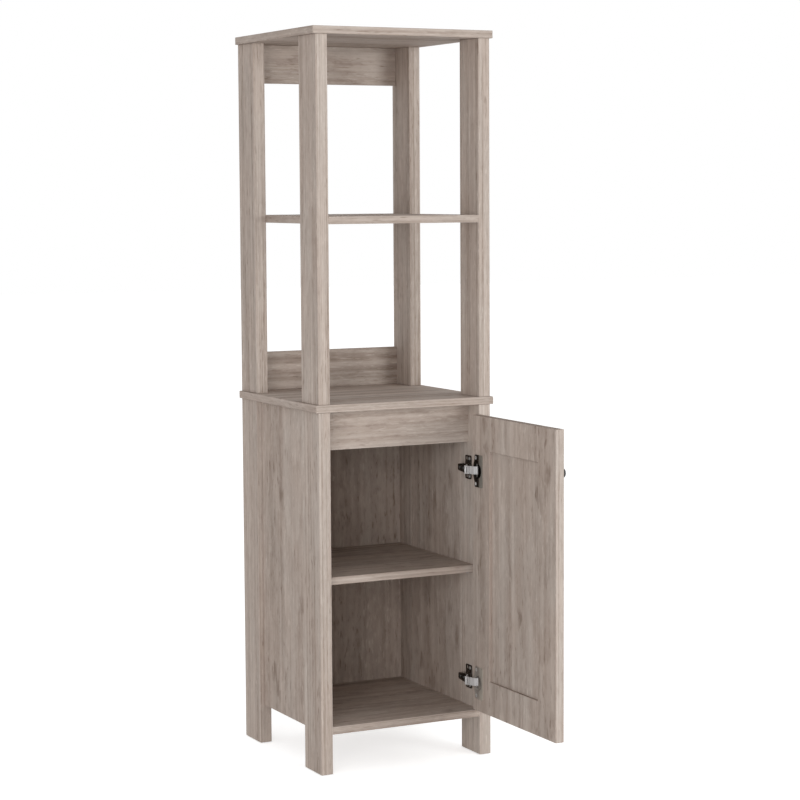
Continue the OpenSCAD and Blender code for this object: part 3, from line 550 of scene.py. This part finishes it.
def roundPressedPart(node, body, finish, width, segments):
    # the part is taken over from its solid, and its sheet edges are rounded
    bpy.ops.object.select_all(action="DESELECT")
    solid = nodes[node]
    piece = solid.copy()
    piece.data = solid.data.copy()
    piece.name = "pressed_" + node
    piece.parent = None
    bpy.context.collection.objects.link(piece)
    piece.matrix_world = Matrix.Identity(4)
    piece.select_set(True)
    bpy.context.view_layer.objects.active = piece
    bpy.ops.object.mode_set(mode="EDIT")
    bpy.ops.mesh.select_all(action="SELECT")
    bpy.ops.mesh.remove_doubles(threshold=pressing["sameCorner"])
    bpy.ops.mesh.dissolve_limited(angle_limit=math.radians(pressing["sameFace"]))
    bpy.ops.mesh.normals_make_consistent(inside=False)
    bpy.ops.object.mode_set(mode="OBJECT")
    bevel = piece.modifiers.new("rounding", "BEVEL")
    bevel.width = width
    bevel.segments = segments
    bevel.limit_method = "ANGLE"
    bevel.angle_limit = math.radians(pressing["roundedEdge"])
    bevel.use_clamp_overlap = True
    bpy.ops.object.modifier_apply(modifier="rounding")
    bpy.ops.object.shade_smooth_by_angle(angle=math.radians(pressing["smoothAngle"]))
    piece.data.materials.clear()
    piece.data.materials.append(finishes[finish])
    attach(piece, body)
    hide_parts(node)


for part, (body, finish, width, segments) in pressedParts.items():
    for place in ("upper", "lower"):
        ownFinish = place + finish if finish == "Cup" else finish
        roundPressedPart(place + "_" + part, body, ownFinish, width, segments)
print("hinge parts rounded")

bpy.ops.object.select_all(action="DESELECT")

# power in watts
studio = {
    "white": (1, 1, 1, 1),
    "floorSize": 40.0,
    "floorColour": (0.86, 0.86, 0.86, 1),
    "floorRoughness": 0.9,
    "floorGlow": 0.62,
    "ambient": 0.58,
    "lampSize": 2.2,
    "lampAim": (0, 0, 0.7),
    "lamps": {
        "right_lamp": {"place": (2.6, -4.4, 1.3), "power": 103.0, "colour": (0.94, 0.995, 1.01)},
        "left_lamp": {"place": (-3.2, -3.9, 1.2), "power": 70.0, "colour": (1.0, 1.0, 1.0)},
    },
}


def whereSeen(tree):
    # 1 for what the camera sees, straight or in gloss or through glass, and 0 for light that falls elsewhere
    rays = addNode(tree, "ShaderNodeLightPath").outputs
    straightOrGloss = calculate(tree, "MAXIMUM", rays["Is Camera Ray"], rays["Is Glossy Ray"])
    return calculate(tree, "MAXIMUM", straightOrGloss, rays["Is Transmission Ray"])


def layFloor():
    bpy.ops.mesh.primitive_plane_add(size=studio["floorSize"], location=(0, 0, 0))
    floor = bpy.context.active_object
    floor.name = "floor"
    material, tree, shader = newMaterial("pale_floor")
    feed(tree, shader, "Base Color", studio["floorColour"])
    feed(tree, shader, "Roughness", studio["floorRoughness"])
    feed(tree, shader, "Specular IOR Level", 0.0)
    feed(tree, shader, "Emission Color", studio["white"])
    feed(tree, shader, "Emission Strength", calculate(tree, "MULTIPLY", whereSeen(tree), studio["floorGlow"]))
    floor.data.materials.append(material)


def lightWorld():
    # the world shows white and lights less strongly
    world = bpy.data.worlds.new("studio")
    bpy.context.scene.world = world
    world.use_nodes = True
    tree = world.node_tree
    tree.nodes.clear()
    strength = mixValues(tree, "FLOAT", whereSeen(tree), studio["ambient"], 1.0)
    background = addNode(tree, "ShaderNodeBackground", {"Color": studio["white"], "Strength": strength})
    addNode(tree, "ShaderNodeOutputWorld", {"Surface": background.outputs[0]})


def addLamp(name, place, power, colour):
    lampData = bpy.data.lights.new(name, "AREA")
    lampData.shape = "SQUARE"
    lampData.size = studio["lampSize"]
    lampData.energy = power
    lampData.color = colour
    lamp = bpy.data.objects.new(name, lampData)
    bpy.context.collection.objects.link(lamp)
    lamp.location = place
    lamp.rotation_mode = "QUATERNION"
    lamp.rotation_quaternion = (Vector(studio["lampAim"]) - Vector(place)).to_track_quat("-Z", "Y")
    lamp.visible_camera = False


layFloor()
lightWorld()
for name, lamp in studio["lamps"].items():
    addLamp(name, lamp["place"], lamp["power"], lamp["colour"])

# angles in degrees, lens and sensor in millimetres, places in metres
shot = {
    "place": (-2.0046, -4.1246, 1.1415),
    "azimuth": -26.841,
    "elevation": 5.318,
    "roll": -0.3229,
    "lens": 101.74,
    "sensor": 36,
    "farthest": 100,
}


def placeCamera():
    azimuth, elevation, roll = (math.radians(shot[angle]) for angle in ("azimuth", "elevation", "roll"))
    back = Vector((
        math.sin(azimuth) * math.cos(elevation),
        -math.cos(azimuth) * math.cos(elevation),
        math.sin(elevation),
    ))
    right = Vector((0, 0, 1)).cross(back).normalized()
    up = back.cross(right)
    sideways = math.cos(roll) * right + math.sin(roll) * up
    upright = -math.sin(roll) * right + math.cos(roll) * up
    cameraData = bpy.data.cameras.new("camera")
    cameraData.sensor_width = shot["sensor"]
    cameraData.lens = shot["lens"]
    cameraData.clip_end = shot["farthest"]
    camera = bpy.data.objects.new("camera", cameraData)
    bpy.context.collection.objects.link(camera)
    turned = Matrix((sideways, upright, back)).transposed().to_4x4()
    camera.matrix_world = Matrix.Translation(shot["place"]) @ turned
    bpy.context.scene.camera = camera


placeCamera()
bpy.context.scene.view_settings.view_transform = "Standard"
print("studio and camera set")
